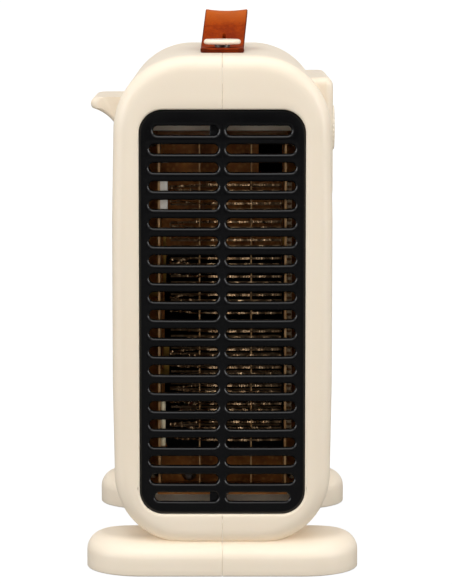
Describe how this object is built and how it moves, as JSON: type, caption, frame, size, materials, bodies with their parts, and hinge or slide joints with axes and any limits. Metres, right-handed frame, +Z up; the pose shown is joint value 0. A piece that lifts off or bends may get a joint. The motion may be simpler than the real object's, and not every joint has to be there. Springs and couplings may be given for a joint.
{
  "type": "fan heater",
  "caption": "Upright cream fan heater on two rounded cross feet, with a slotted black outlet grille, wound mica element, fan, side dial and leather carrying strap.",
  "frame": {"origin": "centre of the footprint, on the surface the heater stands on", "axes": "+Z up; -Y is the front, where the warm air leaves; +X is the side with the control dial"},
  "size_m": [0.133, 0.2224, 0.2715],
  "materials": {
    "cream_plastic": "satin moulded ABS",
    "button_plastic": "smooth moulded ABS",
    "cover_plastic": "fine texture",
    "black_plastic": "satin heat resistant nylon",
    "filter_foam": "open cell foam",
    "screw_steel": "zinc plated",
    "rubber": "matt",
    "leather": "waxed vegetable tanned",
    "post_metal": "turned",
    "switch_plastic": "satin",
    "lens": "clear amber",
    "mica": "pressed mica board",
    "rivet_steel": "nickel plated",
    "nichrome": "drawn, heat dulled",
    "steatite": "unglazed",
    "brass": "stamped",
    "cutoff_alloy": "stamped",
    "duct_plastic": "heat resistant nylon",
    "fan_plastic": "satin",
    "shaft_steel": "ground",
    "motor_steel": "zinc plated can",
    "spring_steel": "drawn",
    "lead_pvc": "PVC sheath",
    "glass_sleeve": "braided glass fibre"
  },
  "bodies": {
    "housing": {"shell_left": "cream_plastic", "shell_right": "cream_plastic", "front_grille": "black_plastic", "rear_grille": "black_plastic", "dust_filter": "filter_foam", "shell_screws": "screw_steel", "foot_cover_front": "cover_plastic", "foot_cover_rear": "cover_plastic", "rubber_pads": "rubber", "strap": "leather", "strap_buttons": "button_plastic", "strap_posts": "post_metal", "post_nuts": "post_metal", "grip_ledge": "cream_plastic", "control_pod": "cream_plastic", "rotary_switch": "switch_plastic", "indicator_lens": "lens", "baffle_plate": "mica", "plate_rivets": "rivet_steel", "mica_cap_top": "mica", "mica_cap_bottom": "mica", "mica_card_left": "mica", "mica_card_right": "mica", "mica_comb_left": "mica", "mica_comb_right": "mica", "wire_upper": "nichrome", "wire_lower": "nichrome", "terminal_blocks": "steatite", "brass_strips": "brass", "ceramic_bush": "steatite", "thermal_fuse": "brass", "thermal_cutoff": "cutoff_alloy", "fan_duct": "duct_plastic", "fan_motor": "motor_steel", "motor_bracket": "duct_plastic", "tip_spring": "spring_steel", "tip_switch": "switch_plastic", "cord_gland": "switch_plastic", "supply_lead": "lead_pvc", "sleeved_lead": "glass_sleeve"},
    "fan": {"fan_impeller": "fan_plastic", "fan_shaft": "shaft_steel"},
    "dial": {"control_dial": "button_plastic"},
    "plunger": {"tip_plunger": "switch_plastic"}
  },
  "joints": [
    {"name": "fan_spin", "type": "hinge", "parent": "housing", "child": "fan", "pos_m": [0, -0.0332, 0.104], "axis": [0, 1, 0], "continuous": true},
    {"name": "dial_turn", "type": "hinge", "parent": "housing", "child": "dial", "pos_m": [0.055, 0, 0.211], "axis": [1, 0, 0], "range_deg": [-135, 135]},
    {"name": "tip_plunger_slide", "type": "slide", "parent": "housing", "child": "plunger", "axis": [0, 0, -1], "range_m": [0, 0.004], "stiffness_N_per_m": 90, "springref_m": 0.006, "deforming": ["tip_spring"]}
  ]
}
